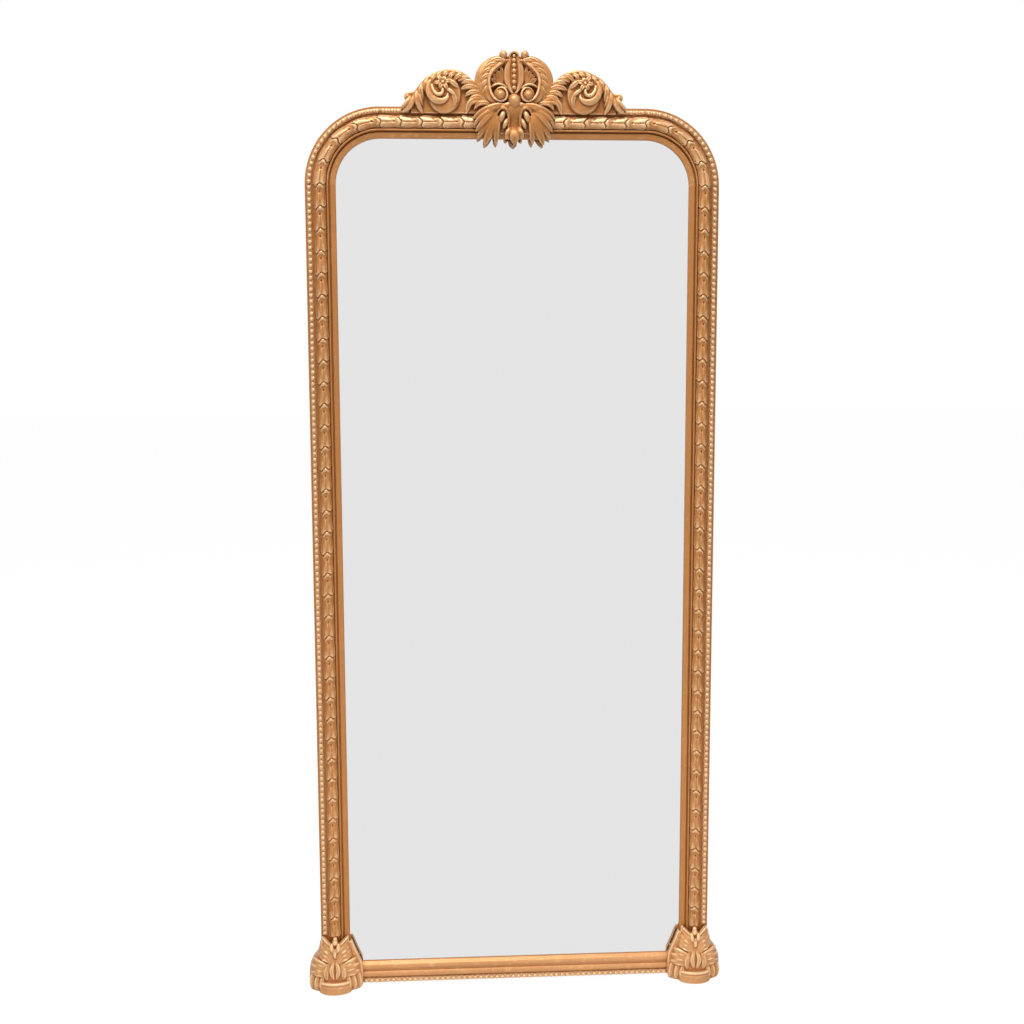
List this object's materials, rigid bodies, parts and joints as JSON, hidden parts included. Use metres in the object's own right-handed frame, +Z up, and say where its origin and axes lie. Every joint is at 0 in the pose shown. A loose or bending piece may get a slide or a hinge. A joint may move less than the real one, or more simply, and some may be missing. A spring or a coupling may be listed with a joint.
{
  "type": "wall mirror",
  "caption": "Full-length gilt pier mirror with leaf-moulded frame, rounded top corners, carved shell crest, leaf-carved feet and swinging hanging rings behind.",
  "frame": {"origin": "on the floor, midway between the feet and midway through the depth", "axes": "+Z up, +X to the viewer's right when facing the mirror, -Y the way the mirror faces"},
  "size_m": [0.908, 0.086, 1.98],
  "materials": {
    "gilt_carcass": "worn gilding over red bole",
    "gilt_ornament": "burnished gilding, rubbed",
    "silvered_glass": "silvered plate glass",
    "bare_pine": "bare aged pine",
    "brassed_steel": "brass plated",
    "screw_steel": "dull steel"
  },
  "bodies": {
    "mirror": {"back_board_screws": "screw_steel", "bottom_beading": "gilt_ornament", "bottom_rail": "gilt_carcass", "crest_acanthus_drop": "gilt_ornament", "crest_bead_string": "gilt_ornament", "crest_berries": "gilt_ornament", "crest_board": "gilt_carcass", "crest_cabochon": "gilt_ornament", "crest_left_batten": "bare_pine", "crest_left_scroll": "gilt_ornament", "crest_left_spray": "gilt_ornament", "crest_right_batten": "bare_pine", "crest_right_scroll": "gilt_ornament", "crest_right_spray": "gilt_ornament", "crest_screws": "screw_steel", "crest_shell": "gilt_ornament", "crest_volute_buttons": "gilt_ornament", "cross_rail_screws": "screw_steel", "foot_screws": "screw_steel", "frame_tenons": "bare_pine", "glass_blocks": "bare_pine", "hanger_screws": "screw_steel", "left_beading": "gilt_ornament", "left_foot": "gilt_ornament", "left_hanger_strap": "brassed_steel", "left_leaf_moulding": "gilt_ornament", "left_plinth": "gilt_ornament", "left_shoulder": "gilt_carcass", "left_shoulder_beading": "gilt_ornament", "left_shoulder_leaf_moulding": "gilt_ornament", "left_shoulder_slip": "gilt_ornament", "left_slip": "gilt_ornament", "left_stile": "gilt_carcass", "left_top_leaf_moulding": "gilt_ornament", "lower_back_board": "bare_pine", "lower_cross_rail": "bare_pine", "middle_back_board": "bare_pine", "mirror_glass": "silvered_glass", "right_beading": "gilt_ornament", "right_foot": "gilt_ornament", "right_hanger_strap": "brassed_steel", "right_leaf_moulding": "gilt_ornament", "right_plinth": "gilt_ornament", "right_shoulder": "gilt_carcass", "right_shoulder_beading": "gilt_ornament", "right_shoulder_leaf_moulding": "gilt_ornament", "right_shoulder_slip": "gilt_ornament", "right_slip": "gilt_ornament", "right_stile": "gilt_carcass", "right_top_leaf_moulding": "gilt_ornament", "setting_blocks": "bare_pine", "top_rail": "gilt_carcass", "top_slip": "gilt_ornament", "upper_back_board": "bare_pine", "upper_cross_rail": "bare_pine"},
    "left_ring": {"left_hanger_ring": "brassed_steel"},
    "right_ring": {"right_hanger_ring": "brassed_steel"}
  },
  "joints": [
    {"name": "left_ring_swing", "type": "hinge", "parent": "mirror", "child": "left_ring", "pos_m": [-0.24, 0.0379, 1.506], "axis": [1, 0, 0], "range_deg": [0, 175]},
    {"name": "right_ring_swing", "type": "hinge", "parent": "mirror", "child": "right_ring", "pos_m": [0.24, 0.0379, 1.506], "axis": [1, 0, 0], "range_deg": [0, 175]}
  ]
}
